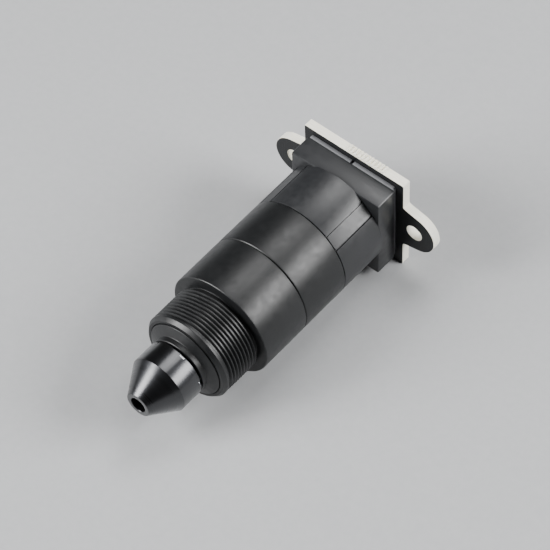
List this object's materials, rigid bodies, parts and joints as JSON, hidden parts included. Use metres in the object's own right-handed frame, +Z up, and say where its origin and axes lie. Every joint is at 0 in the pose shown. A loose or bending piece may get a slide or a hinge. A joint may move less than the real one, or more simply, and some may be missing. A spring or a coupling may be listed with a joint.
{
  "type": "ultrasonic distance sensor",
  "caption": "Round barrel ultrasonic distance sensor with a threaded collar, a screw-in horn nozzle, a square flange and a circuit board with mounting ears.",
  "frame": {"origin": "bottom centre of the sensor's outline: midway across the ears, midway between the nozzle's tip and the connector's mouth, level with the board's bottom edge", "axes": "+X across the ears, to the right when the nozzle faces the viewer; +Y along the barrel from the nozzle towards the circuit board, so the sensor looks along -Y; +Z up"},
  "size_m": [0.0322, 0.0586, 0.0203],
  "materials": {
    "nozzle_black": "black anodised, turned, glossy",
    "barrel_black": "satin black",
    "shell_black": "satin black, moulded",
    "seal_rubber": "matt black",
    "gasket_silicone": "grey silicone",
    "board_laminate": "black solder mask on pale glass-epoxy laminate",
    "horn_plastic": "matt",
    "can_aluminium": "satin",
    "silvered_ceramic": "fired silver",
    "damping_foam": "matt foam",
    "terminal_plate": "phenolic board",
    "potting_resin": "poured epoxy",
    "tinned_pin": "tin plated brass",
    "red_wire": "red insulation",
    "black_wire": "black insulation",
    "screw_steel": "zinc plated",
    "header_nylon": "natural nylon",
    "chip_epoxy": "moulded epoxy, matt",
    "tinned_can": "tin plated can",
    "capacitor_moulding": "yellow moulding",
    "capacitor_ceramic": "brown ceramic with tinned ends",
    "resistor_film": "black glaze with tinned ends",
    "light_lens": "clear resin",
    "ferrite_core": "ferrite, dark grey",
    "copper_winding": "enamelled copper wire"
  },
  "bodies": {
    "housing": {"amplifier_chip": "chip_epoxy", "board_screw_1": "screw_steel", "board_screw_2": "screw_steel", "board_screw_3": "screw_steel", "board_screw_4": "screw_steel", "ceramic_capacitor_1": "capacitor_ceramic", "ceramic_capacitor_2": "capacitor_ceramic", "ceramic_capacitor_3": "capacitor_ceramic", "circuit_board": "board_laminate", "crystal": "tinned_can", "damping_pad": "damping_foam", "driver_chip": "chip_epoxy", "flange_gasket": "gasket_silicone", "focus_horn": "horn_plastic", "front_barrel": "barrel_black", "front_seal_ring": "seal_rubber", "header_housing": "header_nylon", "header_pin_1": "tinned_pin", "header_pin_2": "tinned_pin", "header_pin_3": "tinned_pin", "header_pin_4": "tinned_pin", "lead_left": "red_wire", "lead_right": "black_wire", "microcontroller": "chip_epoxy", "middle_barrel": "barrel_black", "nozzle_bush": "barrel_black", "piezo_disc": "silvered_ceramic", "potting_plug": "potting_resin", "rear_seal_ring": "seal_rubber", "rear_shell": "shell_black", "resistor_1": "resistor_film", "resistor_2": "resistor_film", "resistor_3": "resistor_film", "status_light": "light_lens", "tantalum_capacitor": "capacitor_moulding", "terminal_left": "tinned_pin", "terminal_right": "tinned_pin", "transducer_base": "terminal_plate", "transducer_boot": "seal_rubber", "transducer_can": "can_aluminium", "transformer_base": "chip_epoxy", "transformer_core": "ferrite_core", "transformer_winding": "copper_winding"},
    "seal_ring": {"nozzle_seal_ring": "seal_rubber"},
    "nozzle": {"nozzle": "nozzle_black"}
  },
  "joints": [
    {"name": "nozzle_advance", "type": "slide", "parent": "housing", "child": "seal_ring", "axis": [0, -1, 0], "range_m": [-0.00025, 0.001]},
    {"name": "nozzle_turn", "type": "hinge", "parent": "seal_ring", "child": "nozzle", "pos_m": [0, -0.02233, 0.01], "axis": [0, -1, 0], "range_deg": [-183, 723]}
  ],
  "couplings": [
    {"joint": "nozzle_turn", "follows": "nozzle_advance", "rad_per_m": 12566}
  ]
}
